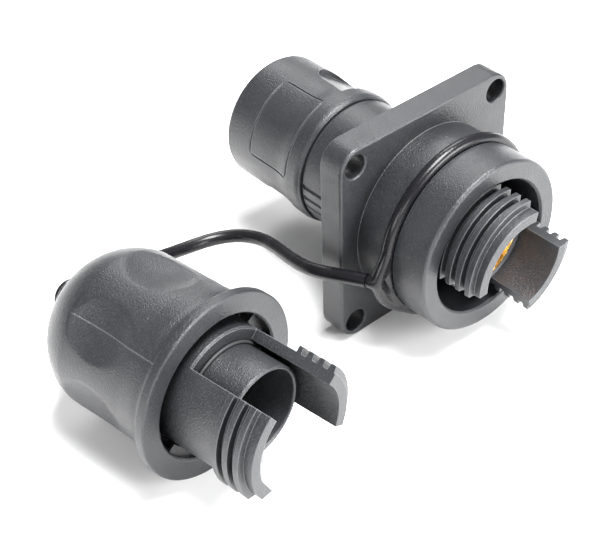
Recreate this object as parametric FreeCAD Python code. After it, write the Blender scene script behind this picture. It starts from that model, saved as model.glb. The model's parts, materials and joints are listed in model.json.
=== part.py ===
import FreeCAD, Part
import math
import os
from FreeCAD import Vector

# Panel receptacle for one power conductor, with its screw-on sealing cap on a rubber tether.
#
# Frame: millimetres, +Z up, the mating side looks along -Y, +X to the right of someone facing it.
# The origin is on the receptacle's axis, in the flange's rear face, which seats on the panel.
# "u" is the distance in front of that face along the axis, so a point at u lies at y = -u.
# Angles run from +X towards +Z, anticlockwise as seen from the mating side.
# The cap has the same kind of frame of its own, with u = 0 on its front ring, and is then placed.

FORWARD = Vector(0, -1, 0)

# --- Flange and collar -------------------------------------------------------------------
FLANGE_SIDE = 40.0
FLANGE_T = 4.9
FLANGE_CORNER_R = 4.1
FLANGE_EDGE_R = 0.5
BOLT_SPACING = 33.3
BOLT_HOLE_R = 2.2
BOLT_HOLE_CHAMFER = 0.2
COLLAR_R = 16.25
COLLAR_FRONT = FLANGE_T + 15.7
COLLAR_EDGE = 0.7
CAVITY_R = 12.6
CAVITY_FLOOR = 2.4
SNAP_GROOVE_R = 13.05
GROOVE_R = 15.1
GROOVE_FROM, GROOVE_TO = 10.8, 13.5

# --- Spigot behind the flange ------------------------------------------------------------
SPIGOT_R = 12.2
SPIGOT_END = -13.8
FLUTES = 6               # on each lower side
FLUTE_FROM = 177.0
FLUTE_STEP = 11.0
FLUTE_R = 0.5
FLUTE_DEPTH = 0.35
THREAD_MAJOR_R = 10.2
THREAD_MINOR_R = 9.75
THREAD_PITCH = 1.5
THREAD_END = -27.0
GLAND_BORE_R = 8.8
INSERT_BORE_R = 10.95
INSERT_REAR = -9.0
SEAL_GROOVE_R = (14.0, 16.0)
SEAL_GROOVE_DEPTH = 1.4
SEAL_SECTION_R = 0.9

# --- Thread on the jaws --------------------------------------------------------------------
RIB_PITCH = 2.18         # single start, right-hand
RIB_CREST = 1.0
RIB_ROOT = 1.4
RIB_HEIGHT = 1.1

# --- Receptacle insert and contact -------------------------------------------------------
WIDE_JAW = (77.5, 182.0)
NARROW_JAW = (-75.5, -3.0)
JAW_R_OUT = 10.75
JAW_R_IN = 8.95
JAW_ROOT = 11.3
TUBE_END = 19.5
JAW_END = FLANGE_T + 23.3
TUBE_BORE_R = 8.5
RIB_FROM = 19.6
WIDE_RIB_TO = 27.08      # a plain land is left before the wide jaw's end
RIB_AT = (23.5, 77.5)    # a point on the rib's middle: u, angle
CONTACT_R_OUT = 8.48
CONTACT_R_IN = 8.1
CONTACT_FLOOR = 1.0
CONTACT_FRONT = 19.2
BARREL_R_OUT = 6.3
BARREL_R_IN = 5.0
BARREL_END = -13.5
BAND_FROM, BAND_TO = 8.0, 18.7
BAND_R_IN = 7.78
LOUVRES = 24

# --- Back shell and cable gland ------------------------------------------------------------
SHELL_FRONT = -14.2
SHELL_REAR = -35.5
SHELL_R = 12.35
SHELL_BAND_R = 12.9
SHELL_BORE_R = 10.45
SHELL_SHOULDER = -28.3
CABLE_HOLE_R = 7.0
FLAT_ANGLES = (55.0, 235.0)
FLAT_OFFSET = 11.2
FLAT_FROM, FLAT_TO = 18.0, 28.4
FLAT_RUN_OUT_R = 5.4
LABEL_ANGLES = (103.0, 178.6)
LABEL_U = (-28.6, -17.8)
LABEL_LINE = 0.32
LABEL_DEPTH = 0.18
BUSH_R = (6.6, 7.75)
CAGE_R = (7.85, 8.65)
CAGE_SLOTS = 8

# --- Tether --------------------------------------------------------------------------------
LOOP_R = 16.35
LOOP_CORD_R = 1.2
LOOP_U = (GROOVE_FROM + GROOVE_TO) / 2
WEB_FEET = (175.0, 213.0)
STRAND_R = 1.25
STUB_LENGTH = 1.6
# The strand's centre line, from the loop's stub to the eyelet's stub.
ROUTE = [
    (-19.4, -10.6, -2.4),
    (-20.9, -7.0, -2.8),
    (-22.3, -3.4, -3.5),
    (-23.1, 0.8, -4.3),
    (-22.6, 5.4, -5.3),
    (-21.6, 10.4, -6.3),
    (-21.1, 15.3, -7.3),
    (-22.9, 19.7, -8.1),
    (-26.6, 22.5, -8.6),
    (-31.5, 23.3, -8.3),
    (-37.0, 22.9, -7.0),
    (-42.2, 22.3, -5.3),
    (-47.0, 21.8, -4.1),
    (-51.6, 21.2, -3.5),
]

# --- Cap ---------------------------------------------------------------------------------
CAP_PLACE = Vector(-53.1, -12.7, -3.5)
CAP_TURN = 7.58
RIM_R = 16.5
GRIP_R = 14.15
GRIP_BORE_R = 12.65
CHAMBER_R = 12.2
DOME_FROM = -21.5
CAP_REAR = -32.0
DIMPLES = 6
DIMPLE_ANGLE0 = 75.0
DIMPLE_U = -15.0
DIMPLE_DEPTH = 1.3
DIMPLE_LENGTH = 12.6
DIMPLE_WIDTH = 10.4
LUG_R_IN = 11.1
LUG_WIDTH = 0.5
LUG_U = -1.3
LUG_SPANS = ((212.0, 245.0), (10.0, 32.0))
CARRIER_WIDE_JAW = (124.2, 224.0)
CARRIER_NARROW_JAW = (-27.0, 41.0)
CARRIER_R_OUT = 10.9
CARRIER_R_IN = 9.0
CHORD = (195.0, 221.0)   # the wide jaw's inside is flat between these angles
WIDE_JAW_FOOT = -6.1     # height at which the wide jaw is cut off level
SHOULDER = 0.97
CARRIER_END = 17.0
CARRIER_RIB_FROM = 9.15
CARRIER_WIDE_RIB_TO = 15.7
CARRIER_RIB_AT = (12.18, 124.0)
BASE_R = 11.9
BASE_FROM, BASE_TO = -13.4, -10.8
NOSE_R_OUT = 8.2
NOSE_R_IN = 7.5
NOSE_END = 9.15
BUTTON_SHANK_R = 1.5
EYELET_U = (-34.5, -32.3)
EYELET_R = (1.8, 3.7)
EYELET_STUB = 3.2


# --- Basic solids ----------------------------------------------------------------------------
def disc(radius, u0, u1):
    return Part.makeCylinder(radius, u1 - u0, Vector(0, -u0, 0), FORWARD)


def ring(r_in, r_out, u0, u1):
    return disc(r_out, u0, u1).cut(disc(r_in, u0 - 1, u1 + 1))


def o_ring(radius, section_r, u):
    return Part.makeTorus(radius, section_r, Vector(0, -u, 0), FORWARD)


def outline(steps):
    """Edges through (radius, u) points; a step of two points is an arc through the first."""
    points = [Vector(s[-1][0], -s[-1][1], 0) for s in steps]
    edges = []
    for i, step in enumerate(steps):
        start = points[i - 1]
        if len(step) == 2:
            middle = Vector(step[0][0], -step[0][1], 0)
            edges.append(Part.Arc(start, middle, points[i]).toShape())
        else:
            edges.append(Part.LineSegment(start, points[i]).toShape())
    return edges


def turned(steps):
    """A solid of revolution from a closed outline of (radius, u) steps."""
    face = Part.Face(Part.Wire(outline(steps)))
    return face.revolve(Vector(0, 0, 0), Vector(0, 1, 0), 360)


def polygon(*points):
    return [(p,) for p in points]


def on_circle(radius, angle, u):
    a = math.radians(angle)
    return Vector(radius * math.cos(a), -u, radius * math.sin(a))


def sector(r_in, r_out, a0, a1, u0, u1):
    middle = (a0 + a1) / 2
    edges = [
        Part.Arc(on_circle(r_out, a0, u0), on_circle(r_out, middle, u0), on_circle(r_out, a1, u0)).toShape(),
        Part.LineSegment(on_circle(r_out, a1, u0), on_circle(r_in, a1, u0)).toShape(),
        Part.Arc(on_circle(r_in, a1, u0), on_circle(r_in, middle, u0), on_circle(r_in, a0, u0)).toShape(),
        Part.LineSegment(on_circle(r_in, a0, u0), on_circle(r_out, a0, u0)).toShape(),
    ]
    return Part.Face(Part.Wire(edges)).extrude(FORWARD * (u1 - u0))


def chord_fill(radius, a0, a1, u0, u1):
    """Fills the space between an inside wall and the straight chord across two of its angles."""
    back = radius + 0.3
    near0, near1 = on_circle(radius, a0, u0), on_circle(radius, a1, u0)
    far0, far1 = on_circle(back, a0, u0), on_circle(back, a1, u0)
    edges = [
        Part.LineSegment(near0, near1).toShape(),
        Part.LineSegment(near1, far1).toShape(),
        Part.Arc(far1, on_circle(back, (a0 + a1) / 2, u0), far0).toShape(),
        Part.LineSegment(far0, near0).toShape(),
    ]
    return Part.Face(Part.Wire(edges)).extrude(FORWARD * (u1 - u0))


def helical_rib(inner, outer, rib_at, u0, u1):
    """A right-hand rib from u0 to u1 or a little past; inner and outer are (radius, width)."""
    widest = max(inner[1], outer[1])
    at_zero = rib_at[0] - RIB_PITCH * rib_at[1] / 360
    start = at_zero - RIB_PITCH * math.ceil((at_zero - (u0 - widest)) / RIB_PITCH)
    turns = math.ceil((u1 + widest - start) / RIB_PITCH)
    path = Part.makeHelix(RIB_PITCH, turns * RIB_PITCH, inner[0])
    corners = [(inner[0], -inner[1] / 2), (outer[0], -outer[1] / 2), (outer[0], outer[1] / 2),
               (inner[0], inner[1] / 2), (inner[0], -inner[1] / 2)]
    profile = Part.makePolygon([Vector(r, 0, z) for r, z in corners])
    rib = Part.Wire(path).makePipeShell([profile], True, True)
    rib.rotate(Vector(0, 0, 0), Vector(1, 0, 0), 90)
    rib.translate(FORWARD * start)
    return rib


def fused(first, others):
    return first.multiFuse(others).removeSplitter()


def jaw(span, r_in, r_out, u0, u1, rib_from, rib_to, rib_at):
    """One jaw: a smooth shank with thread ribs between rib_from and rib_to."""
    shank = sector(r_in, r_out, span[0], span[1], u0, u1)
    window = sector(r_out - 0.5, r_out + RIB_HEIGHT + 1, span[0], span[1], rib_from, rib_to)
    overlap = 0.2
    rib = helical_rib((r_out - overlap, RIB_ROOT), (r_out + RIB_HEIGHT, RIB_CREST), rib_at, rib_from, rib_to)
    return fused(shank, [rib.common(window)])


# --- Receptacle ----------------------------------------------------------------------------
def flange_plate():
    half = FLANGE_SIDE / 2
    plate = Part.makeBox(FLANGE_SIDE, FLANGE_T, FLANGE_SIDE, Vector(-half, -FLANGE_T, -half))
    uprights = [e for e in plate.Edges if abs(e.tangentAt(e.FirstParameter).y) > 0.9]
    plate = plate.makeFillet(FLANGE_CORNER_R, uprights)
    front = [e for e in plate.Edges if e.BoundBox.YMax < 1e-6 - FLANGE_T]
    return plate.makeFillet(FLANGE_EDGE_R, front)


def bolt_hole(x, z):
    hole = Part.makeCylinder(BOLT_HOLE_R, FLANGE_T + 2, Vector(x, 1, z), FORWARD)
    r_mouth = BOLT_HOLE_R + BOLT_HOLE_CHAMFER
    mouth = Part.makeCone(BOLT_HOLE_R, r_mouth, BOLT_HOLE_CHAMFER,
                          Vector(x, BOLT_HOLE_CHAMFER - FLANGE_T, z), FORWARD)
    return hole.fuse(mouth)


def spigot_thread():
    """Outline points of the gland thread, drawn as plain rings, from the rear forwards."""
    points = [(THREAD_MAJOR_R - 0.4, THREAD_END)]
    crest = THREAD_END + 0.4
    while crest + THREAD_PITCH < SPIGOT_END - 0.6:
        points += [(THREAD_MAJOR_R, crest), (THREAD_MAJOR_R, crest + 0.35), (THREAD_MINOR_R, crest + 0.75)]
        points += [(THREAD_MINOR_R, crest + 1.1)]
        crest += THREAD_PITCH
    points += [(THREAD_MAJOR_R, crest), (THREAD_MAJOR_R, SPIGOT_END)]
    return points


def flange_housing():
    lip = 0.4
    steps = polygon(*spigot_thread())
    steps += polygon(
        (SPIGOT_R, SPIGOT_END), (SPIGOT_R, 0), (COLLAR_R, 0),
        (COLLAR_R, GROOVE_FROM), (GROOVE_R, GROOVE_FROM), (GROOVE_R, GROOVE_TO), (COLLAR_R, GROOVE_TO),
        (COLLAR_R, COLLAR_FRONT - COLLAR_EDGE))
    steps += [((COLLAR_R - 0.2, COLLAR_FRONT - 0.2), (COLLAR_R - COLLAR_EDGE, COLLAR_FRONT))]
    steps += polygon(
        (CAVITY_R + lip, COLLAR_FRONT), (CAVITY_R, COLLAR_FRONT - lip),
        (CAVITY_R, CAVITY_FLOOR), (INSERT_BORE_R, CAVITY_FLOOR), (INSERT_BORE_R, INSERT_REAR - 0.1),
        (GLAND_BORE_R, INSERT_REAR - 0.1), (GLAND_BORE_R, -10.0), (GLAND_BORE_R + 0.6, -10.0),
        (GLAND_BORE_R + 0.6, -10.9), (GLAND_BORE_R, -10.9), (GLAND_BORE_R, THREAD_END))
    body = turned(steps).fuse(flange_plate())
    body = body.cut(disc(CAVITY_R, CAVITY_FLOOR, COLLAR_FRONT))
    body = body.cut(disc(INSERT_BORE_R, INSERT_REAR, CAVITY_FLOOR + 1))
    half = BOLT_SPACING / 2
    cutters = [bolt_hole(x, z) for x in (-half, half) for z in (-half, half)]
    cutters.append(ring(SEAL_GROOVE_R[0], SEAL_GROOVE_R[1], -1, SEAL_GROOVE_DEPTH))
    cutters.append(ring(CAVITY_R - 1, SNAP_GROOVE_R, 3.6, 4.5))
    left = [FLUTE_FROM + i * FLUTE_STEP for i in range(FLUTES)]
    for angle in left + [180 - a for a in left]:
        centre = on_circle(SPIGOT_R + FLUTE_R - FLUTE_DEPTH, angle, SPIGOT_END - 1)
        cutters.append(Part.makeCylinder(FLUTE_R, -SPIGOT_END - 0.2, centre, FORWARD))
    return body.cut(Part.makeCompound(cutters)).removeSplitter()


def panel_seal():
    return o_ring(sum(SEAL_GROOVE_R) / 2, SEAL_SECTION_R, SEAL_GROOVE_DEPTH - SEAL_SECTION_R - 0.02)


def jaw_insert():
    tip = 0.25
    base = turned(polygon(
        (TUBE_BORE_R, INSERT_REAR), (INSERT_BORE_R - 0.05, INSERT_REAR), (INSERT_BORE_R - 0.05, CAVITY_FLOOR),
        (CAVITY_R - 0.1, CAVITY_FLOOR), (CAVITY_R - 0.1, CAVITY_FLOOR + 1.2), (JAW_R_OUT, CAVITY_FLOOR + 1.2),
        (JAW_R_OUT, JAW_ROOT - tip), (JAW_R_OUT - tip, JAW_ROOT), (JAW_R_IN + 0.05, JAW_ROOT),
        (JAW_R_IN + 0.05, TUBE_END - tip), (JAW_R_IN + 0.05 - tip, TUBE_END), (TUBE_BORE_R, TUBE_END)))
    jaws = [jaw(span, JAW_R_IN, JAW_R_OUT, JAW_ROOT - 0.5, JAW_END, RIB_FROM, rib_to, RIB_AT)
            for span, rib_to in ((WIDE_JAW, WIDE_RIB_TO), (NARROW_JAW, JAW_END))]
    return fused(base, jaws)


def insert_snap_ring():
    whole = ring(11.3, SNAP_GROOVE_R - 0.05, 3.65, 4.4)
    return whole.cut(sector(10, 15, 260, 282, 3, 5))


def interface_seal():
    return o_ring(11.68, 0.88, 5.4)


def socket_contact():
    edge = 0.25
    return turned(polygon(
        (0, -2.0), (BARREL_R_IN, -2.0), (BARREL_R_IN, BARREL_END), (BARREL_R_OUT, BARREL_END),
        (BARREL_R_OUT, -9.95), (GLAND_BORE_R - 0.05, -9.95), (GLAND_BORE_R - 0.05, INSERT_REAR - 0.15),
        (CONTACT_R_OUT, INSERT_REAR - 0.15), (CONTACT_R_OUT, CONTACT_FRONT),
        (CONTACT_R_IN + edge, CONTACT_FRONT), (CONTACT_R_IN, CONTACT_FRONT - edge),
        (CONTACT_R_IN, CONTACT_FLOOR + 0.6), (CONTACT_R_IN - 0.6, CONTACT_FLOOR), (0, CONTACT_FLOOR)))


def contact_lock_ring():
    whole = ring(7.2, GLAND_BORE_R + 0.55, -10.85, -10.05)
    return whole.cut(sector(5, 12, 80, 100, -12, -9))


def louvre_band():
    band = ring(BAND_R_IN, CONTACT_R_IN - 0.02, BAND_FROM, BAND_TO)
    step = 360 / LOUVRES
    windows = [sector(7, 9, i * step, (i + 0.5) * step, BAND_FROM + 1, BAND_TO - 1) for i in range(LOUVRES)]
    return band.cut(Part.makeCompound(windows))


def touch_guard():
    rear = CONTACT_FRONT + 0.02
    return turned(polygon(
        (CONTACT_R_OUT, rear), (CONTACT_R_OUT, TUBE_END), (CONTACT_R_OUT - 0.12, TUBE_END + 0.1),
        (CONTACT_R_IN, TUBE_END - 0.1), (CONTACT_R_IN, rear)))


def rear_seal_ring():
    return ring(THREAD_MAJOR_R + 0.02, SPIGOT_R - 0.15, SHELL_FRONT + 0.02, SPIGOT_END)


# --- Back shell and gland --------------------------------------------------------------------
def shell_outside(inset=0.0):
    """Outline steps of the shell's outside, from its front edge to its barrel, moved in by inset."""
    band, barrel = SHELL_BAND_R - inset, SHELL_R - inset
    steps = [((12.35 - inset, SHELL_FRONT),)]
    steps += [((12.55 - inset, SHELL_FRONT - 0.1), (12.62 - inset, SHELL_FRONT - 0.4))]
    steps += [((band - 0.06, -15.2), (band, -16.0)), ((band, -17.2),)]
    steps += [((band - 0.08, -18.4), ((band + barrel) / 2, -19.5)), ((barrel + 0.08, -20.6), (barrel, -21.8))]
    return steps


def label_frame():
    """The engraved frame of a blank label panel, of even depth under the shell's outside."""
    a0, a1 = LABEL_ANGLES
    u0, u1 = LABEL_U
    line_angle = math.degrees(LABEL_LINE / SHELL_R)
    outer = sector(SHELL_R - 1, SHELL_R + 2, a0, a1, u0, u1)
    inner = sector(SHELL_R - 2, SHELL_R + 3, a0 + line_angle, a1 - line_angle,
                   u0 + LABEL_LINE, u1 - LABEL_LINE)
    corners = [e for e in outer.Edges if 2 < e.Length < 4 and abs(e.tangentAt(e.FirstParameter).y) < 0.1]
    floor = turned(polygon((0, SHELL_FRONT)) + shell_outside(LABEL_DEPTH)
                   + polygon((SHELL_R - LABEL_DEPTH, SHELL_REAR), (0, SHELL_REAR)))
    return outer.makeFillet(1.2, corners).cut(inner).cut(floor)


def spanner_flat(angle):
    """A flat that runs back from the front band and ends in a round cutter run-out."""
    run_out_at = FLAT_TO - FLAT_RUN_OUT_R
    half = FLAT_RUN_OUT_R + 1.6
    tool = Part.makeBox(2 * half, run_out_at - FLAT_FROM, 4, Vector(-half, FLAT_FROM, FLAT_OFFSET))
    tool = tool.fuse(Part.makeCylinder(FLAT_RUN_OUT_R, 4, Vector(0, run_out_at, FLAT_OFFSET)))
    tool.rotate(Vector(0, 0, 0), Vector(0, 1, 0), 90 - angle)
    return tool


def back_shell():
    round_r = 1.0
    bend = round_r * (1 - math.sqrt(0.5))
    steps = polygon((SHELL_BORE_R, SHELL_FRONT)) + shell_outside()
    steps += [((SHELL_R, SHELL_REAR + round_r),)]
    steps += [((SHELL_R - bend, SHELL_REAR + bend), (SHELL_R - round_r, SHELL_REAR))]
    steps += polygon(
        (CABLE_HOLE_R + 0.6, SHELL_REAR), (CABLE_HOLE_R, SHELL_REAR + 0.6), (CABLE_HOLE_R, -31.6),
        (7.9, -30.8), (9.25, -28.8), (9.25, SHELL_SHOULDER), (SHELL_BORE_R, SHELL_SHOULDER))
    body = turned(steps)
    cutters = [label_frame()] + [spanner_flat(a) for a in FLAT_ANGLES]
    return body.cut(Part.makeCompound(cutters)).removeSplitter()


def slip_washer():
    return ring(8.95, SHELL_BORE_R - 0.2, SHELL_SHOULDER + 0.2, THREAD_END - 0.25)


def gland_bush():
    bush = ring(BUSH_R[0], BUSH_R[1], -25.5, -15.0)
    grooves = [ring(BUSH_R[0] - 1, BUSH_R[0] + 0.35, u, u + 0.9) for u in (-23.5, -20.7, -17.9)]
    return bush.cut(Part.makeCompound(grooves))


def gland_cage():
    cage = turned(polygon(
        (CAGE_R[0], -14.5), (CAGE_R[1], -14.5), (CAGE_R[1], -28.4), (7.85, -30.3), (7.3, -30.3),
        (7.3, -28.9), (CAGE_R[0], -28.0)))
    slot = 1.3
    cutters = []
    for i in range(CAGE_SLOTS):
        box = Part.makeBox(12, 13, slot, Vector(0, 18.5, -slot / 2))
        box.rotate(Vector(0, 0, 0), Vector(0, 1, 0), i * 360 / CAGE_SLOTS)
        cutters.append(box)
    return cage.cut(Part.makeCompound(cutters))


# --- Tether ----------------------------------------------------------------------------------
def rod(a, b, r_a, r_b=None):
    a, b = Vector(*a), Vector(*b)
    if r_b is None or abs(r_a - r_b) < 1e-9:
        return Part.makeCylinder(r_a, (b - a).Length, a, b - a)
    return Part.makeCone(r_a, r_b, (b - a).Length, a, b - a)


def tether_loop():
    """The loop in the collar's groove, and the Y-shaped web that gathers it into the strand."""
    start, nxt = Vector(*ROUTE[0]), Vector(*ROUTE[1])
    along = (nxt - start).normalize()
    knot = start - along * STUB_LENGTH
    branches = []
    feet = []
    for angle in WEB_FEET:
        foot = on_circle(LOOP_R + 0.1, angle, LOOP_U)
        feet.append(foot)
        branches.append(rod(foot, knot, LOOP_CORD_R * 0.85, STRAND_R))
    middle = on_circle(LOOP_R + 0.6, sum(WEB_FEET) / 2, LOOP_U)
    outline_points = [feet[0], middle, feet[1], knot, feet[0]]
    normal = (feet[1] - feet[0]).cross(knot - middle).normalize()
    sheet = Part.Face(Part.makePolygon([p - normal * 0.5 for p in flatten(outline_points, normal, knot)]))
    web = sheet.extrude(normal * 1.0)
    ball = Part.makeSphere(STRAND_R, knot)
    stub = rod(knot, start, STRAND_R)
    loop = o_ring(LOOP_R, LOOP_CORD_R, LOOP_U)
    return loop.multiFuse([web, ball, stub] + branches).removeSplitter()


def flatten(points, normal, origin):
    """Drop points onto the plane through origin with this normal."""
    return [p - normal * (p - origin).dot(normal) for p in points]


def route_wire(points):
    """Straight runs joined by tangent arcs, each as large as its two runs allow."""
    points = [Vector(*p) for p in points]
    edges = []
    radii = []
    here = points[0]
    for before, corner, after in zip(points, points[1:], points[2:]):
        way_in = (corner - before).normalize()
        way_out = (after - corner).normalize()
        turn = way_in.getAngle(way_out)
        reach = 0.45 * min((corner - before).Length, (after - corner).Length)
        radii.append(reach / math.tan(turn / 2))
        start, end = corner - way_in * reach, corner + way_out * reach
        to_centre = (way_out - way_in).normalize()
        middle = corner + to_centre * (radii[-1] / math.cos(turn / 2) - radii[-1])
        edges.append(Part.LineSegment(here, start).toShape())
        edges.append(Part.Arc(start, middle, end).toShape())
        here = end
    edges.append(Part.LineSegment(here, points[-1]).toShape())
    return Part.Wire(edges), radii


def tether_strand():
    wire, radii = route_wire(ROUTE)
    start, nxt = Vector(*ROUTE[0]), Vector(*ROUTE[1])
    section = Part.Wire(Part.makeCircle(STRAND_R, start, nxt - start))
    tube = wire.makePipeShell([section], True, True)
    expected = math.pi * STRAND_R ** 2 * wire.Length
    print("strand length %.1f mm, volume ratio %.4f" % (wire.Length, tube.Volume / expected))
    print("strand arc radii mm:", ", ".join("%.1f" % r for r in radii))
    return tube


# --- Cap, drawn in its own frame ------------------------------------------------------------
def dimple(angle):
    """An oval finger dimple: a ball stretched to give its length, width and depth at the surface."""
    height = 4.0
    half_width = DIMPLE_WIDTH / 2
    fall = GRIP_R - math.sqrt(GRIP_R ** 2 - half_width ** 2)
    along = DIMPLE_LENGTH / 2 / math.sqrt(1 - (1 - DIMPLE_DEPTH / height) ** 2)
    across = half_width / math.sqrt(1 - (1 - (DIMPLE_DEPTH - fall) / height) ** 2)
    size = FreeCAD.Matrix()
    size.scale(across, along, height)
    ball = Part.makeSphere(1.0).transformGeometry(size)
    ball.translate(Vector(0, -DIMPLE_U, GRIP_R + height - DIMPLE_DEPTH))
    ball.rotate(Vector(0, 0, 0), Vector(0, 1, 0), 90 - angle)
    return ball


def lug(side, row):
    """A short flat length of the mating thread; each side has two rows, half a pitch from the other's."""
    a0, a1 = LUG_SPANS[side]
    front = LUG_U - RIB_PITCH * (row + side / 2) + LUG_WIDTH / 2
    return sector(LUG_R_IN, GRIP_BORE_R + 0.3, a0, a1, front - LUG_WIDTH, front)


def cap_grip_shell():
    wall_r = GRIP_BORE_R
    steps = polygon((CHAMBER_R, -9.45), (wall_r + 0.5, -9.45), (wall_r + 0.5, -8.45), (wall_r, -8.45),
                    (wall_r, -0.35), (wall_r + 0.35, 0), (RIM_R - 0.3, 0))
    steps += [((RIM_R - 0.09, -0.09), (RIM_R, -0.3)), ((RIM_R, -1.5),)]
    steps += [((RIM_R - 0.2, -1.85), (RIM_R - 0.75, -2.0))]
    steps += [((14.7, -2.75), (14.4, -4.6)), ((GRIP_R, -8.0),), ((GRIP_R, DOME_FROM),)]
    steps += [((12.15, -26.4), (7.2, -30.4)), ((3.6, -31.75), (1.55, CAP_REAR))]
    steps += [((1.55, CAP_REAR + 2.4),)]
    steps += [((4.5, -29.2), (6.6, -28.5)), ((10.5, -25.5), (CHAMBER_R, DOME_FROM))]
    body = turned(steps)
    dimples = [dimple(DIMPLE_ANGLE0 + i * 360 / DIMPLES) for i in range(DIMPLES)]
    body = body.cut(Part.makeCompound(dimples))
    return fused(body, [lug(side, row) for side in (0, 1) for row in (0, 1)])


def cap_snap_ring():
    whole = ring(11.2, GRIP_BORE_R + 0.45, -9.4, -8.5)
    return whole.cut(sector(10, 14, 80, 104, -10, -8))


def cap_slip_ring():
    return ring(CARRIER_R_OUT + 0.1, CHAMBER_R - 0.2, -10.6, -9.6)


def cap_carrier():
    edge = 0.3
    base = turned(polygon(
        (0, BASE_FROM), (BASE_R - 0.4, BASE_FROM), (BASE_R, BASE_FROM + 0.4), (BASE_R, -12.75),
        (BASE_R - 0.95, -12.75), (BASE_R - 0.95, -11.45), (BASE_R, -11.45), (BASE_R, BASE_TO),
        (CARRIER_R_OUT, BASE_TO), (CARRIER_R_OUT, SHOULDER - edge), (CARRIER_R_OUT - edge, SHOULDER),
        (NOSE_R_OUT + 0.3, SHOULDER), (NOSE_R_OUT + 0.05, SHOULDER - 0.3), (NOSE_R_OUT + 0.05, -9.0),
        (0, -9.0)))
    pilot = disc(1.2, BASE_FROM - 1, -8)
    root = SHOULDER - 0.6
    wide, narrow = [
        jaw(span, CARRIER_R_IN, CARRIER_R_OUT, root, CARRIER_END, CARRIER_RIB_FROM, rib_to, CARRIER_RIB_AT)
        for span, rib_to in ((CARRIER_WIDE_JAW, CARRIER_WIDE_RIB_TO), (CARRIER_NARROW_JAW, CARRIER_END))]
    flat = chord_fill(CARRIER_R_IN, CHORD[0], CHORD[1], root, CARRIER_END)
    below = Part.makeBox(40, 30, 20, Vector(-20, -CARRIER_END - 1, WIDE_JAW_FOOT - 20))
    wide = wide.fuse(flat).cut(below)
    return fused(base.cut(pilot), [wide, narrow])


def cap_nose():
    return turned(
        polygon((1.6, -8.95), (NOSE_R_OUT, -8.95), (NOSE_R_OUT, NOSE_END - 0.3))
        + [((NOSE_R_OUT - 0.09, NOSE_END - 0.09), (NOSE_R_OUT - 0.3, NOSE_END))]
        + polygon((NOSE_R_IN + 0.15, NOSE_END), (NOSE_R_IN, NOSE_END - 0.3), (NOSE_R_IN, -6.8),
                  (NOSE_R_IN - 0.7, -7.4), (1.6, -7.4)))


def cap_nose_screw():
    head = turned(polygon((0, -7.35), (2.75, -7.35), (2.75, -6.2), (2.2, -5.6), (0, -5.6)))
    shank = disc(1.18, -13.2, -7.2)
    socket = Part.makeBox(0.8, 2, 3.2, Vector(-0.4, 5.0, -1.6))
    cross = Part.makeBox(3.2, 2, 0.8, Vector(-1.6, 5.0, -0.4))
    return head.fuse(shank).cut(socket.fuse(cross))


def cap_nose_seal():
    return o_ring(NOSE_R_OUT + 0.28, 0.27, SHOULDER + 0.28)


def cap_shaft_seal():
    return o_ring(BASE_R - 0.4, 0.5, -12.1)


def cap_button():
    return turned(polygon((0, -28.6), (2.7, -28.6), (2.7, -29.4), (BUTTON_SHANK_R, -29.4),
                          (BUTTON_SHANK_R, -34.7), (2.9, -34.7), (2.9, -35.3))
                  + [((2.1, -36.1), (0.6, -36.4)), ((0, -36.4),)])


def tether_eyelet():
    u0, u1 = EYELET_U
    disc_part = ring(EYELET_R[0], EYELET_R[1], u0, u1)
    rounded = [e for e in disc_part.Edges if e.Curve.TypeId == "Part::GeomCircle" and e.Curve.Radius > 3]
    disc_part = placed(disc_part.makeFillet(0.7, rounded))
    end = Vector(*ROUTE[-1])
    along = (end - Vector(*ROUTE[-2])).normalize()
    return disc_part.fuse(rod(end, end + along * EYELET_STUB, STRAND_R)).removeSplitter()


def placed(shape):
    """Move a shape from the cap's own frame to where the cap lies."""
    shape.rotate(Vector(0, 0, 0), Vector(0, 0, 1), CAP_TURN)
    shape.translate(CAP_PLACE)
    return shape


RECEPTACLE_PIECES = [
    flange_housing, panel_seal, jaw_insert, insert_snap_ring, interface_seal, socket_contact,
    contact_lock_ring, louvre_band, touch_guard, rear_seal_ring, back_shell, slip_washer,
    gland_bush, gland_cage, tether_loop, tether_strand, tether_eyelet,
]
CAP_PIECES = [
    cap_grip_shell, cap_snap_ring, cap_slip_ring, cap_carrier, cap_nose, cap_nose_screw,
    cap_nose_seal, cap_shaft_seal, cap_button,
]


def main():
    os.makedirs("parts", exist_ok=True)
    shapes = {make.__name__: make() for make in RECEPTACLE_PIECES}
    shapes.update({make.__name__: placed(make()) for make in CAP_PIECES})
    for name, shape in shapes.items():
        solids = shape.Solids
        print("%-18s solids %d  valid %s  volume %8.1f" % (name, len(solids), shape.isValid(), shape.Volume))
        result = solids[0] if len(solids) == 1 else shape
        result.exportStep("parts/%s.step" % name)


main()
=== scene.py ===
import json
import math

import bmesh
import bpy
from mathutils import Matrix, Vector


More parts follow.
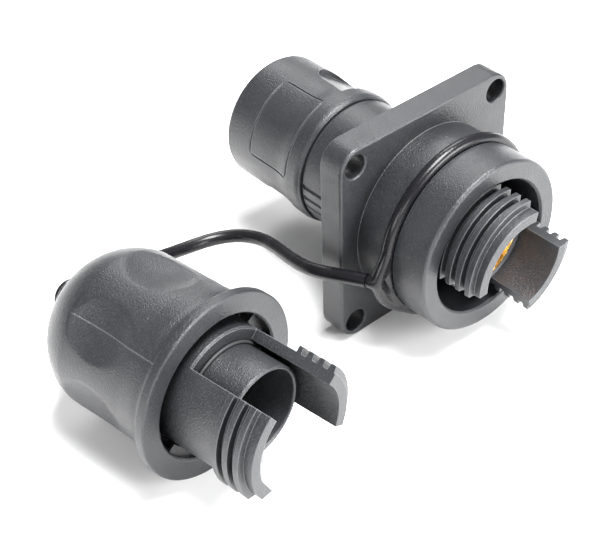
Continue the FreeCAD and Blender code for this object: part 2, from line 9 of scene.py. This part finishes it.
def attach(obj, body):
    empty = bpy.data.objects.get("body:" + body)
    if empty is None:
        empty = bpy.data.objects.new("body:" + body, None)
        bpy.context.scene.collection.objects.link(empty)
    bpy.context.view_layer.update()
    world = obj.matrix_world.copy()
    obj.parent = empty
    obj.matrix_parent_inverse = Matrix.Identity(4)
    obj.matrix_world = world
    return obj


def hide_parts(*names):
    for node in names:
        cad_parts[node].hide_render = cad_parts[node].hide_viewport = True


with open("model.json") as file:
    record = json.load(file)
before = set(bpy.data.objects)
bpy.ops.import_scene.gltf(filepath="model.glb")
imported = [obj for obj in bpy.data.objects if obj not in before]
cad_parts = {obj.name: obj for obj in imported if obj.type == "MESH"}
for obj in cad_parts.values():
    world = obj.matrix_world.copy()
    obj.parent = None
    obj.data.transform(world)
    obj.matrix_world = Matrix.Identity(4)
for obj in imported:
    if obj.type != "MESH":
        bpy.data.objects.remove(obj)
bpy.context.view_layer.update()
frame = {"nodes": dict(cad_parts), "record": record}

# Panel receptacle with its tethered sealing cap. Blender works in metres; the sizes below are in
# millimetres, and MM turns them into metres. As in the CAD model, the mating side looks along -Y,
# "u" is the distance in front of the flange's rear face, so a point at u lies at y = -u, and
# angles run from +X towards +Z, anticlockwise as seen from the mating side.

MM = 0.001

# --- Tether ---------------------------------------------------------------------------------
STRAND_D = 2.5
ROUTE = [
    (-19.4, -10.6, -2.4),
    (-20.9, -7.0, -2.8),
    (-22.3, -3.4, -3.5),
    (-23.1, 0.8, -4.3),
    (-22.6, 5.4, -5.3),
    (-21.6, 10.4, -6.3),
    (-21.1, 15.3, -7.3),
    (-22.9, 19.7, -8.1),
    (-26.6, 22.5, -8.6),
    (-31.5, 23.3, -8.3),
    (-37.0, 22.9, -7.0),
    (-42.2, 22.3, -5.3),
    (-47.0, 21.8, -4.1),
    (-51.6, 21.2, -3.5),
]

# The loop's two branches sweep from the strand's knot into the ring: radius and angle, and tube radii.
LOOP_U = 12.15
WEB_LOWER = [(18.9, 187), (18.6, 197), (17.9, 207), (16.9, 220), (16.4, 234)]
WEB_LOWER_RADII = [1.25, 1.2, 1.15, 1.1, 1.1]
WEB_UPPER = [(18.9, 187), (18.1, 182), (17.0, 176), (16.4, 169)]
WEB_UPPER_RADII = [1.25, 1.15, 1.1, 1.1]
MELT_VOXEL = 0.22        # the grain of the mesh in which ring and branches become one
MELT_ROUNDS = 18         # smoothing rounds that round off their joins

# --- Cap shell, with the CAD model's sizes ----------------------------------------------------
CAP_PLACE = (-53.1, -12.7, -3.5)   # middle of the cap's rim face
CAP_TURN = 7.58                    # degrees between the cap's axis and the receptacle's
RIM_R = 16.5
RIM_REAR = -2.0
GRIP_R = 14.15
GRIP_FROM, GRIP_TO = -8.0, -21.5   # the straight part of the outside; the dome follows
BORE_R = 12.65
CHAMBER_R = 12.2
GROOVE_R = 13.15                   # snap ring groove between bore and chamber
GROOVE_FROM, GROOVE_TO = -8.45, -9.45
DOME_END = -32.0
DOME_HOLE_R = 1.55                 # hole for the button's stem
CAP_SEGMENTS = 300
PROFILE_STEP = 0.5
DIMPLE_ANGLE = 75.0
DIMPLE_STEP = 60.0
DIMPLE_U = -15.0
DIMPLE_LENGTH = 12.8
DIMPLE_WIDTH = 10.6
DIMPLE_DEPTH = 1.3
DIMPLE_EDGE = 0.08       # how softly the dimple's edge rounds into the side
PARTING_ANGLES = (134.0, 314.0)
PARTING_HEIGHT = 0.08
PARTING_WIDTH = 0.9      # degrees
PARTING_END = -21.7
LUG_SPANS = ((212.0, 245.0), (10.0, 32.0))
LUG_R_IN = 11.1
LUG_WIDTH = 0.5
LUG_U = -1.3
LUG_STEPS = 20
RIB_PITCH = 2.18
SHARP_ANGLE = 30.0       # degrees; a sharper edge isn't shaded smooth

# --- Plastic's surface ------------------------------------------------------------------------
GRAIN_SCALE = 3600       # grains per metre
GRAIN_DEPTH = 0.00011    # metres
EDGE_SOFTNESS = 0.25
EDGE_HIGHLIGHT_REACH = 0.3       # how far the painted edge highlights spread from an edge
PAINTED_SHADE_REACH = 5        # how near a surface has to be to darken another with painted shade

# --- Stage, light and camera ------------------------------------------------------------------
FLOOR_Z = -20.0
FLOOR_HALF = 3.0         # metres
CAMERA_AT = (-147.94, -146.16, 154.50)
CAMERA_AZIMUTH = -40.42
CAMERA_ELEVATION = 39.81
CAMERA_ROLL = -1.69
LENS = 84.87
SENSOR = 36.0
WORLD_STRENGTH = 0.34
LIGHTS_AIM = (-0.02, 0.0, 0.0)
LIGHTS = (               # name, place and size in metres, watts
    ("top", (0.10, -0.15, 0.85), (0.5, 0.35), 25.0),
    ("back_right", (0.45, 0.60, 0.62), (0.4, 0.3), 4.0),
    ("front_right", (0.40, -0.85, 0.35), (0.6, 0.4), 17.0),
    ("low_left", (-0.80, -0.15, 0.25), (0.35, 0.25), 2.6),
    ("fill", (-0.55, -0.65, 0.35), (0.3, 0.2), 2.0),
)


# --- Material building blocks ---------------------------------------------------------------
def new_material(name):
    material = bpy.data.materials.new(name)
    material.use_nodes = True
    tree = material.node_tree
    return material, tree, tree.nodes["Principled BSDF"]


def noise(tree, scale, detail=3.0, stretch=None, roughness=0.55):
    """Noise in the object's own coordinates; scale is in features per metre."""
    place = tree.nodes.new("ShaderNodeTexCoord")
    node = tree.nodes.new("ShaderNodeTexNoise")
    node.inputs["Scale"].default_value = scale
    node.inputs["Detail"].default_value = detail
    node.inputs["Roughness"].default_value = roughness
    source = place.outputs["Object"]
    if stretch is not None:
        mapping = tree.nodes.new("ShaderNodeMapping")
        mapping.inputs["Scale"].default_value = stretch
        tree.links.new(source, mapping.inputs["Vector"])
        source = mapping.outputs["Vector"]
    tree.links.new(source, node.inputs["Vector"])
    return node.outputs["Fac"]


def spread(tree, value, low, high, from_low=0.3, from_high=0.7):
    """Map a noise value onto low..high."""
    node = tree.nodes.new("ShaderNodeMapRange")
    node.inputs["From Min"].default_value = from_low
    node.inputs["From Max"].default_value = from_high
    node.inputs["To Min"].default_value = low
    node.inputs["To Max"].default_value = high
    tree.links.new(value, node.inputs["Value"])
    return node.outputs["Result"]


def mix(tree, factor, dark, light):
    """Blend two colours, given as tuples or outputs, by a number output."""
    node = tree.nodes.new("ShaderNodeMix")
    node.data_type = "RGBA"
    for socket, value in ((node.inputs["A"], dark), (node.inputs["B"], light)):
        if isinstance(value, tuple):
            socket.default_value = (*value, 1.0)
        else:
            tree.links.new(value, socket)
    tree.links.new(factor, node.inputs["Factor"])
    return node.outputs["Result"]


def bump(tree, shader, heights, edge_r=None):
    """Chain (height, strength, distance) bumps into the shader's normal, over softened edges."""
    last = None
    if edge_r is not None:
        rounding = tree.nodes.new("ShaderNodeBevel")
        rounding.samples = 6
        rounding.inputs["Radius"].default_value = edge_r
        last = rounding.outputs["Normal"]
    for height, strength, distance in heights:
        node = tree.nodes.new("ShaderNodeBump")
        node.inputs["Strength"].default_value = strength
        node.inputs["Distance"].default_value = distance
        tree.links.new(height, node.inputs["Height"])
        if last is not None:
            tree.links.new(last, node.inputs["Normal"])
        last = node.outputs["Normal"]
    tree.links.new(last, shader.inputs["Normal"])


def painted_crevice_shade(tree, reach, darkest):
    """Painted shade: a factor that falls from 1 on open surfaces to darkest deep in holes, grooves and
    corners.
    """
    node = tree.nodes.new("ShaderNodeAmbientOcclusion")
    node.samples = 8
    node.inputs["Distance"].default_value = reach
    return spread(tree, node.outputs["AO"], darkest, 1.0, 0.25, 0.85)


def painted_edge_highlight(tree, reach):
    """A factor that is 0 on smooth surfaces and 1 along edges, where the colour is lightened as a painted
    highlight.
    """
    rounding = tree.nodes.new("ShaderNodeBevel")
    rounding.samples = 6
    rounding.inputs["Radius"].default_value = reach
    geometry = tree.nodes.new("ShaderNodeNewGeometry")
    turn = tree.nodes.new("ShaderNodeVectorMath")
    turn.operation = "DOT_PRODUCT"
    tree.links.new(rounding.outputs["Normal"], turn.inputs[0])
    tree.links.new(geometry.outputs["Normal"], turn.inputs[1])
    return spread(tree, turn.outputs["Value"], 1.0, 0.0, 0.75, 0.985)


def scaled(tree, colour, factor):
    """A colour output multiplied by a number output."""
    node = tree.nodes.new("ShaderNodeVectorMath")
    node.operation = "SCALE"
    tree.links.new(colour, node.inputs[0])
    tree.links.new(factor, node.inputs["Scale"])
    return node.outputs["Vector"]


def brighter(colour, times):
    return tuple(times * c for c in colour)


def moulded_plastic(name, dark, light, rough=(0.29, 0.40)):
    """Glass-filled nylon: satin, with fine eroded grain and flow marks, painted highlights along its edges
    and painted shade in its corners.
    """
    material, tree, shader = new_material(name)
    clouds = noise(tree, 90, 4)
    flow = noise(tree, 260, 3, stretch=(1.0, 0.22, 1.0))
    specks = noise(tree, GRAIN_SCALE, 2)
    base = mix(tree, spread(tree, clouds, 0, 1), dark, light)
    flecked = mix(tree, spread(tree, specks, 0, 0.6, 0.5, 0.72), base, brighter(light, 2.2))
    # Painted highlight: the colour is lightened six times along convex and concave edges alike.
    edge_highlighted = mix(tree, painted_edge_highlight(tree, MM * EDGE_HIGHLIGHT_REACH), flecked, brighter(light, 6.0))
    # Painted shade: the colour darkens in holes, grooves and corners, where less light reaches.
    shaded = scaled(tree, edge_highlighted, painted_crevice_shade(tree, MM * PAINTED_SHADE_REACH, 0.3))
    tree.links.new(shaded, shader.inputs["Base Color"])
    tree.links.new(spread(tree, flow, *rough), shader.inputs["Roughness"])
    shader.inputs["IOR"].default_value = 1.5
    bump(tree, shader, [(specks, 0.9, GRAIN_DEPTH), (flow, 0.10, 0.0002)], edge_r=MM * EDGE_SOFTNESS)
    return material


def rubber(name, colour, rough, gloss=0.5):
    """Moulded rubber: near black and slightly uneven in gloss."""
    material, tree, shader = new_material(name)
    clouds = noise(tree, 300, 3)
    fine = noise(tree, 5200, 2)
    uneven = mix(tree, spread(tree, clouds, 0, 1), colour, brighter(colour, 1.5))
    tree.links.new(uneven, shader.inputs["Base Color"])
    tree.links.new(spread(tree, clouds, rough * 0.9, rough * 1.15), shader.inputs["Roughness"])
    shader.inputs["IOR"].default_value = 1.5
    shader.inputs["Specular IOR Level"].default_value = gloss
    bump(tree, shader, [(fine, 0.04, 0.00004), (clouds, 0.03, 0.0002)])
    return material


def plated_metal(name, colour, shade, rough):
    """Turned and plated metal: two close tints, and fine turning marks round the axis."""
    material, tree, shader = new_material(name)
    turning = noise(tree, 900, 3, stretch=(1.0, 6.0, 1.0))
    clouds = noise(tree, 300, 2)
    tree.links.new(mix(tree, spread(tree, clouds, 0, 1), shade, colour), shader.inputs["Base Color"])
    tree.links.new(spread(tree, turning, rough * 0.7, rough * 1.5), shader.inputs["Roughness"])
    shader.inputs["Metallic"].default_value = 1.0
    bump(tree, shader, [(turning, 0.10, 0.00004)])
    return material


# --- Materials ------------------------------------------------------------------------------
def make_materials():
    return {
        "housing": moulded_plastic("housing_nylon", (0.0120, 0.0128, 0.0145), (0.0190, 0.0202, 0.0225)),
        "insulator": moulded_plastic("insulator_nylon", (0.0150, 0.0158, 0.0175), (0.0230, 0.0242, 0.0265)),
        "cage": moulded_plastic("cage_nylon", (0.013, 0.013, 0.014), (0.019, 0.019, 0.020)),
        "slip_plastic": moulded_plastic("slip_acetal", (0.30, 0.30, 0.28), (0.38, 0.38, 0.36), (0.3, 0.42)),
        "seal_rubber": rubber("seal_rubber", (0.012, 0.012, 0.013), 0.55),
        "tether_rubber": rubber("tether_rubber", (0.005, 0.005, 0.006), 0.26, gloss=0.3),
        "gold_contact": plated_metal("gold_plate", (0.95, 0.66, 0.24), (0.85, 0.55, 0.18), 0.2),
        "spring_steel": plated_metal("spring_steel", (0.6, 0.6, 0.6), (0.45, 0.45, 0.46), 0.28),
    }


def dress_cad_nodes(materials):
    """Give every CAD node its slot's procedural material."""
    for part in frame["record"]["subparts"]:
        mesh = frame["nodes"][part["node"]].data
        mesh.materials.clear()
        mesh.materials.append(materials[part["material_slot"]])


# --- Mesh building blocks -------------------------------------------------------------------
def arc(start, through, end, pieces):
    """The points after start on the circle from start through a second point to end."""
    (ax, ay), (bx, by), (cx, cy) = start, through, end
    a2, b2, c2 = ax * ax + ay * ay, bx * bx + by * by, cx * cx + cy * cy
    d = 2 * (ax * (by - cy) + bx * (cy - ay) + cx * (ay - by))
    x = (a2 * (by - cy) + b2 * (cy - ay) + c2 * (ay - by)) / d
    y = (a2 * (cx - bx) + b2 * (ax - cx) + c2 * (bx - ax)) / d
    radius = math.hypot(ax - x, ay - y)
    first = math.atan2(ay - y, ax - x)
    turn = math.tau if (bx - ax) * (cy - ay) - (by - ay) * (cx - ax) > 0 else -math.tau
    sweep = (math.atan2(cy - y, cx - x) - first) % turn
    angles = [first + sweep * (i + 1) / pieces for i in range(pieces)]
    return [(x + radius * math.cos(a), y + radius * math.sin(a)) for a in angles]


def closed_profile(steps, longest):
    """(radius, u) points round a closed outline; a step of two points is an arc through the first."""
    points = []
    for i, step in enumerate(steps):
        start, end = steps[i - 1][-1], step[-1]
        pieces = max(1, math.ceil(math.dist(start, end) / longest))
        if len(step) == 2:
            points += arc(start, step[0], end, max(6, pieces))
        else:
            points += [tuple(a + (b - a) * (k + 1) / pieces for a, b in zip(start, end))
                       for k in range(pieces)]
    return points


def turned_mesh(name, profile, angles, place, shape=None):
    """Turn a closed profile round the axis; shape(radius, angle, u) may change each point's radius."""
    mesh = bpy.data.meshes.new(name)
    vertices = []
    for angle in angles:
        a = math.radians(angle)
        for radius, u in profile:
            r = radius if shape is None else shape(radius, angle, u)
            vertices.append(place(r * math.cos(a), u, r * math.sin(a)))
    count, rings = len(profile), len(angles)
    faces = []
    for i in range(rings):
        here, there = i * count, (i + 1) % rings * count
        for k in range(count):
            after = (k + 1) % count
            faces.append((here + k, here + after, there + after, there + k))
    mesh.from_pydata(vertices, [], faces)
    return finished(name, mesh)


def finished(name, mesh):
    """Make a mesh's normals point out, shade it smooth between its edges and put it in the scene."""
    work = bmesh.new()
    work.from_mesh(mesh)
    bmesh.ops.recalc_face_normals(work, faces=work.faces)
    work.to_mesh(mesh)
    work.free()
    mesh.shade_smooth()
    mesh.set_sharp_from_angle(angle=math.radians(SHARP_ANGLE))
    piece = bpy.data.objects.new(name, mesh)
    bpy.context.scene.collection.objects.link(piece)
    return piece


# --- Cap shell ------------------------------------------------------------------------------
def in_cap(x, u, z):
    """A point given in the cap's own frame, in metres where the cap lies."""
    turn = math.radians(CAP_TURN)
    along, across = math.sin(turn), math.cos(turn)
    return (MM * (CAP_PLACE[0] + across * x + along * u),
            MM * (CAP_PLACE[1] + along * x - across * u),
            MM * (CAP_PLACE[2] + z))


def cap_profile():
    """Much the CAD shell's outline, from the chamber's front edge round the outside."""
    steps = [((CHAMBER_R, GROOVE_TO),), ((GROOVE_R, GROOVE_TO),)]
    steps += [((GROOVE_R, GROOVE_FROM),), ((BORE_R, GROOVE_FROM),)]
    steps += [((BORE_R, -0.35),), ((BORE_R + 0.35, 0),), ((RIM_R - 0.3, 0),)]
    steps += [((RIM_R - 0.09, -0.09), (RIM_R, -0.3)), ((RIM_R, -1.5),)]
    steps += [((RIM_R - 0.2, RIM_REAR + 0.15), (RIM_R - 0.75, RIM_REAR)), ((14.7, -2.75), (14.4, -4.6))]
    steps += [((GRIP_R, GRIP_FROM),), ((GRIP_R, GRIP_TO),), ((12.15, -26.4), (7.2, -30.4))]
    steps += [((3.6, -31.75), (DOME_HOLE_R, DOME_END)), ((DOME_HOLE_R, DOME_END + 2.4),)]
    steps += [((4.5, -29.2), (6.6, -28.5)), ((10.5, -25.5), (CHAMBER_R, GRIP_TO))]
    return closed_profile(steps, PROFILE_STEP)


def grip_shape(radius, angle, u):
    """Sink the finger dimples into the outside and raise the mould's parting line."""
    if radius < BORE_R + 0.6 or not -30 < u < -1.6:
        return radius
    nearest = round((angle - DIMPLE_ANGLE) / DIMPLE_STEP) * DIMPLE_STEP + DIMPLE_ANGLE
    across = math.radians(angle - nearest) * GRIP_R / (DIMPLE_WIDTH / 2)
    along = (u - DIMPLE_U) / (DIMPLE_LENGTH / 2)
    sunk = DIMPLE_DEPTH * (1 - across ** 2 - along ** 2)
    radius -= (sunk + math.hypot(sunk, DIMPLE_EDGE)) / 2
    if any(abs(angle - line) < 0.01 for line in PARTING_ANGLES) and u > PARTING_END:
        radius += PARTING_HEIGHT
    return radius


def make_lugs():
    """The short flat lengths of thread inside the cap, two rows on each of two sides."""
    mesh = bpy.data.meshes.new("cap_lugs")
    vertices, faces = [], []
    for side, (a0, a1) in enumerate(LUG_SPANS):
        for row in (0, 1):
            front = LUG_U - RIB_PITCH * (row + side / 2) + LUG_WIDTH / 2
            section = [(LUG_R_IN, front), (BORE_R + 0.1, front),
                       (BORE_R + 0.1, front - LUG_WIDTH), (LUG_R_IN, front - LUG_WIDTH)]
            first = len(vertices)
            for i in range(LUG_STEPS + 1):
                a = math.radians(a0 + (a1 - a0) * i / LUG_STEPS)
                vertices += [in_cap(r * math.cos(a), u, r * math.sin(a)) for r, u in section]
            for i in range(LUG_STEPS):
                at = first + 4 * i
                faces += [(at + k, at + (k + 1) % 4, at + 4 + (k + 1) % 4, at + 4 + k) for k in range(4)]
            last = first + 4 * LUG_STEPS
            faces += [(first, first + 3, first + 2, first + 1), (last, last + 1, last + 2, last + 3)]
    mesh.from_pydata(vertices, [], faces)
    return finished("cap_lugs", mesh)


def make_cap_shell(material):
    """The cap's turned grip shell with its dimples, and the lugs inside it."""
    angles = {i * 360 / CAP_SEGMENTS for i in range(CAP_SEGMENTS)}
    for line in PARTING_ANGLES:
        angles |= {line - PARTING_WIDTH / 2, line, line + PARTING_WIDTH / 2}
    shell = turned_mesh("cap_body", cap_profile(), sorted(angles), in_cap, grip_shape)
    for piece in (shell, make_lugs()):
        piece.data.materials.append(material)
        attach(piece, "cap_grip")
        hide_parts("cap_grip_shell")


# --- Tether ---------------------------------------------------------------------------------
def on_ring(radius, angle):
    """A point in the loop's plane, in millimetres."""
    a = math.radians(angle)
    return (radius * math.cos(a), -LOOP_U, radius * math.sin(a))


def tube(places, radii):
    """A smooth tube along NURBS points given in millimetres, as a mesh."""
    curve = bpy.data.curves.new("tube", "CURVE")
    curve.dimensions = "3D"
    spline = curve.splines.new("NURBS")
    spline.points.add(len(places) - 1)
    for point, place, radius in zip(spline.points, places, radii):
        point.co = (*(MM * c for c in place), 1.0)
        point.radius = radius
    spline.order_u = 3
    spline.use_endpoint_u = True
    curve.bevel_depth = MM
    curve.bevel_resolution = 6
    curve.use_fill_caps = True
    return evaluated(bpy.data.objects.new("tube", curve))


def evaluated(work):
    """The mesh that an object's modifiers or bevel make; the object itself is removed."""
    bpy.context.scene.collection.objects.link(work)
    depsgraph = bpy.context.evaluated_depsgraph_get()
    mesh = bpy.data.meshes.new_from_object(work.evaluated_get(depsgraph))
    bpy.data.objects.remove(work)
    return mesh


def melted(meshes):
    """Join meshes and melt their joins into one another."""
    joined = bpy.data.meshes.new("joined")
    work = bmesh.new()
    for mesh in meshes:
        work.from_mesh(mesh)
    work.to_mesh(joined)
    work.free()
    lump = bpy.data.objects.new("melted", joined)
    remesh = lump.modifiers.new("remesh", "REMESH")
    remesh.mode = "VOXEL"
    remesh.voxel_size = MM * MELT_VOXEL
    smooth = lump.modifiers.new("smooth", "SMOOTH")
    smooth.factor = 0.5
    smooth.iterations = MELT_ROUNDS
    return evaluated(lump)


def make_loop(material):
    """The moulded loop: the CAD ring and web, with two branches that sweep in and melt into them."""
    source = frame["nodes"]["tether_loop"]
    ring = source.data.copy()
    ring.transform(source.matrix_world)
    lower = tube([on_ring(*p) for p in WEB_LOWER], WEB_LOWER_RADII)
    upper = tube([on_ring(*p) for p in WEB_UPPER], WEB_UPPER_RADII)
    mesh = melted([ring, lower, upper])
    mesh.materials.clear()
    mesh.materials.append(material)
    piece = finished("tether_ring", mesh)
    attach(piece, "tether")
    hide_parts("tether_loop")


def make_strand(material):
    """The free cord, a smooth curve along the route."""
    curve = bpy.data.curves.new("tether_cord", "CURVE")
    curve.dimensions = "3D"
    spline = curve.splines.new("NURBS")
    spline.points.add(len(ROUTE) - 1)
    for point, place in zip(spline.points, ROUTE):
        point.co = (*(MM * c for c in place), 1.0)
    spline.order_u = 3
    spline.use_endpoint_u = True
    curve.bevel_depth = MM * STRAND_D / 2
    curve.bevel_resolution = 8
    curve.resolution_u = 16
    curve.use_fill_caps = True
    strand = bpy.data.objects.new("tether_cord", curve)
    bpy.context.scene.collection.objects.link(strand)
    curve.materials.append(material)
    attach(strand, "tether")
    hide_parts("tether_strand")


# --- Stage, light and camera ----------------------------------------------------------------
def make_camera():
    data = bpy.data.cameras.new("camera")
    data.lens = LENS
    data.sensor_width = SENSOR
    data.clip_start = 0.01
    data.clip_end = 20
    camera = bpy.data.objects.new("camera", data)
    bpy.context.scene.collection.objects.link(camera)
    azimuth, elevation = math.radians(CAMERA_AZIMUTH), math.radians(CAMERA_ELEVATION)
    back = Vector((math.sin(azimuth) * math.cos(elevation), -math.cos(azimuth) * math.cos(elevation),
                   math.sin(elevation)))
    level = (-back).to_track_quat("-Z", "Y").to_matrix()
    tilt = Matrix.Rotation(math.radians(CAMERA_ROLL), 3, "Z")
    camera.matrix_world = Matrix.Translation(Vector(CAMERA_AT) * MM) @ (level @ tilt).to_4x4()
    bpy.context.scene.camera = camera


def make_floor():
    material, tree, shader = new_material("studio_floor")
    clouds = noise(tree, 4, 2)
    tree.links.new(mix(tree, clouds, (0.9, 0.9, 0.9), (0.93, 0.93, 0.93)), shader.inputs["Base Color"])
    shader.inputs["Roughness"].default_value = 0.9
    mesh = bpy.data.meshes.new("studio_floor")
    z = MM * FLOOR_Z
    corners = [(x * FLOOR_HALF, y * FLOOR_HALF, z) for x, y in ((-1, -1), (1, -1), (1, 1), (-1, 1))]
    mesh.from_pydata(corners, [], [(0, 1, 2, 3)])
    mesh.materials.append(material)
    floor = bpy.data.objects.new("studio_floor", mesh)
    bpy.context.scene.collection.objects.link(floor)


def softbox(name, place, size, watts):
    data = bpy.data.lights.new(name, "AREA")
    data.shape = "RECTANGLE"
    data.size, data.size_y = size
    data.energy = watts
    lamp = bpy.data.objects.new(name, data)
    bpy.context.scene.collection.objects.link(lamp)
    lamp.location = place
    lamp.rotation_mode = "QUATERNION"
    lamp.rotation_quaternion = (Vector(LIGHTS_AIM) - Vector(place)).to_track_quat("-Z", "Y")


def make_lights():
    world = bpy.data.worlds.new("studio")
    world.use_nodes = True
    world.node_tree.nodes["Background"].inputs["Color"].default_value = (1, 1, 1, 1)
    world.node_tree.nodes["Background"].inputs["Strength"].default_value = WORLD_STRENGTH
    bpy.context.scene.world = world
    for light in LIGHTS:
        softbox(*light)


def main():
    bpy.context.scene.view_settings.view_transform = "Standard"
    make_camera()
    materials = make_materials()
    dress_cad_nodes(materials)
    make_strand(materials["tether_rubber"])
    make_loop(materials["tether_rubber"])
    make_cap_shell(materials["housing"])
    make_floor()
    make_lights()


main()
